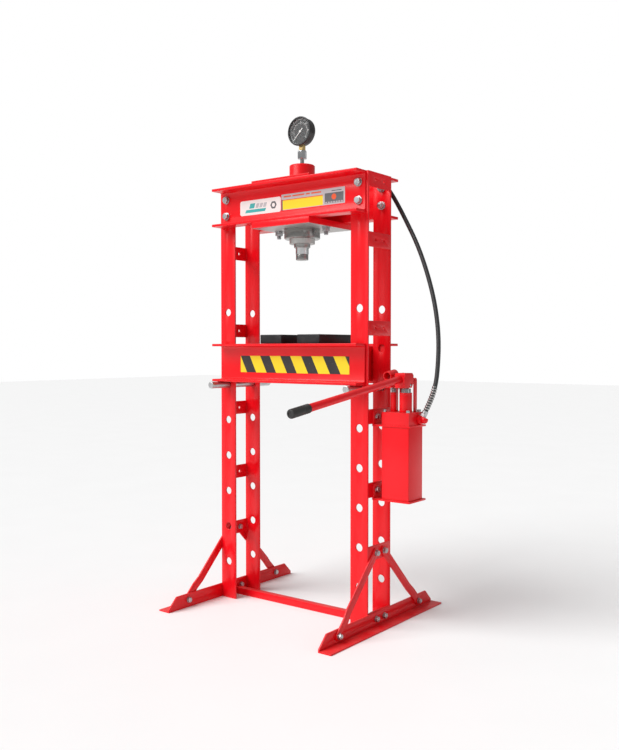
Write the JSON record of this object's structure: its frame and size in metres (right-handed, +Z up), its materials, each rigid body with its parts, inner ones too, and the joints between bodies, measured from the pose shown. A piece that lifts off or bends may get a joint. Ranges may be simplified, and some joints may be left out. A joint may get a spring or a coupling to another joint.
{
  "type": "hydraulic shop press",
  "caption": "Floor-standing hydraulic press: bolted H frame, pinned adjustable bed with two plates, vertical ram with gauge, and a side hand pump with a hose.",
  "frame": {"origin": "on the floor, midway between the side frames, under the ram", "axes": "+X to the pump side, +Y to the rear, +Z up"},
  "size_m": [0.9132, 0.9682, 1.783],
  "materials": {
    "frame_red": "gloss enamel",
    "zinc": "zinc plated",
    "steel": "turned bare steel",
    "black_steel": "black oxide",
    "chrome": "plated",
    "brass": "bare",
    "black_plastic": "satin",
    "dial_black": "printed",
    "clear": "clear",
    "rubber": "satin",
    "seal": "satin",
    "needle_white": "white"
  },
  "bodies": {
    "frame": {"battens": "frame_red", "bourdon_tube": "brass", "braces": "frame_red", "crossbar": "frame_red", "cylinder_body": "frame_red", "cylinder_plate": "frame_red", "cylinder_port": "zinc", "filler_plug": "zinc", "foot_left": "frame_red", "foot_right": "frame_red", "frame_bolts": "zinc", "frame_nuts": "zinc", "fulcrum_links": "frame_red", "gauge_bezel": "black_plastic", "gauge_case": "black_plastic", "gauge_coupling": "chrome", "gauge_dial": "dial_black", "gauge_lens": "clear", "gauge_neck": "brass", "gauge_nipple": "steel", "gland": "steel", "head_beam_front": "frame_red", "head_beam_rear": "frame_red", "head_bolts": "zinc", "head_nuts": "zinc", "hose": "rubber", "hose_fittings": "zinc", "hose_spring_guard": "steel", "oil_tank": "frame_red", "pump_barrels": "frame_red", "pump_body": "frame_red", "pump_elbow": "frame_red", "pump_screws": "zinc", "ram_wiper": "rubber", "return_spring": "steel", "ring_nut": "steel", "tank_brackets": "frame_red", "top_plate": "frame_red", "upright_front_left": "frame_red", "upright_front_right": "frame_red", "upright_rear_left": "frame_red", "upright_rear_right": "frame_red"},
    "ram": {"ram": "steel", "ram_nose": "black_steel", "piston_seal": "seal"},
    "bed": {"bed_channel_front": "frame_red", "bed_channel_rear": "frame_red", "bed_spacers": "frame_red"},
    "plate_left": {"press_plate_left": "black_steel"},
    "plate_right": {"press_plate_right": "black_steel"},
    "pin_left": {"bed_pin_left": "zinc"},
    "pin_right": {"bed_pin_right": "zinc"},
    "small_rocker": {"small_rocker": "frame_red"},
    "large_rocker": {"large_rocker": "frame_red"},
    "small_plunger": {"small_plunger": "steel"},
    "large_plunger": {"large_plunger": "steel"},
    "handle": {"handle": "frame_red", "handle_grip": "rubber"},
    "release_knob": {"release_knob": "black_plastic"},
    "gauge_needle": {"gauge_needle": "needle_white"}
  },
  "joints": [
    {"name": "ram_travel", "type": "slide", "parent": "frame", "child": "ram", "axis": [0, 0, -1], "range_m": [0, 0.145], "stiffness_N_per_m": 400, "springref_m": -0.25, "deforming": ["return_spring"]},
    {"name": "bed_height", "type": "slide", "parent": "frame", "child": "bed", "axis": [0, 0, 1], "range_m": [0, 0.105]},
    {"name": "left_plate_slide", "type": "slide", "parent": "bed", "child": "plate_left", "axis": [1, 0, 0], "range_m": [-0.12, 0.035]},
    {"name": "right_plate_slide", "type": "slide", "parent": "bed", "child": "plate_right", "axis": [1, 0, 0], "range_m": [-0.03, 0.09]},
    {"name": "left_pin_slide", "type": "slide", "parent": "frame", "child": "pin_left", "axis": [0, -1, 0], "range_m": [0, 0.3]},
    {"name": "right_pin_slide", "type": "slide", "parent": "frame", "child": "pin_right", "axis": [0, -1, 0], "range_m": [0, 0.3]},
    {"name": "small_rocker_swing", "type": "hinge", "parent": "frame", "child": "small_rocker", "pos_m": [0.389, 0.036, 0.842], "axis": [-1, 0, 0], "range_deg": [0, 44]},
    {"name": "large_rocker_swing", "type": "hinge", "parent": "frame", "child": "large_rocker", "pos_m": [0.437, 0.036, 0.842], "axis": [-1, 0, 0], "range_deg": [0, 44]},
    {"name": "small_plunger_stroke", "type": "slide", "parent": "frame", "child": "small_plunger", "axis": [0, 0, 1], "range_m": [0, 0.0279]},
    {"name": "large_plunger_stroke", "type": "slide", "parent": "frame", "child": "large_plunger", "axis": [0, 0, 1], "range_m": [0, 0.0279]},
    {"name": "handle_fit", "type": "slide", "parent": "large_rocker", "child": "handle", "axis": [0, -0.9905, -0.1374], "range_m": [0, 0.045]},
    {"name": "release_turn", "type": "hinge", "parent": "frame", "child": "release_knob", "pos_m": [0.398, 0.05, 0.716], "axis": [0, 1, 0], "range_deg": [0, 360]},
    {"name": "needle_turn", "type": "hinge", "parent": "frame", "child": "gauge_needle", "pos_m": [0, 0, 1.731], "axis": [0, 1, 0], "range_deg": [0, 270], "stiffness_Nm_per_rad": 0.002, "springref_deg": -17.19}
  ],
  "couplings": [
    {"joint": "small_plunger_stroke", "follows": "small_rocker_swing", "m_per_rad": 0.03625},
    {"joint": "large_plunger_stroke", "follows": "large_rocker_swing", "m_per_rad": 0.03625}
  ]
}
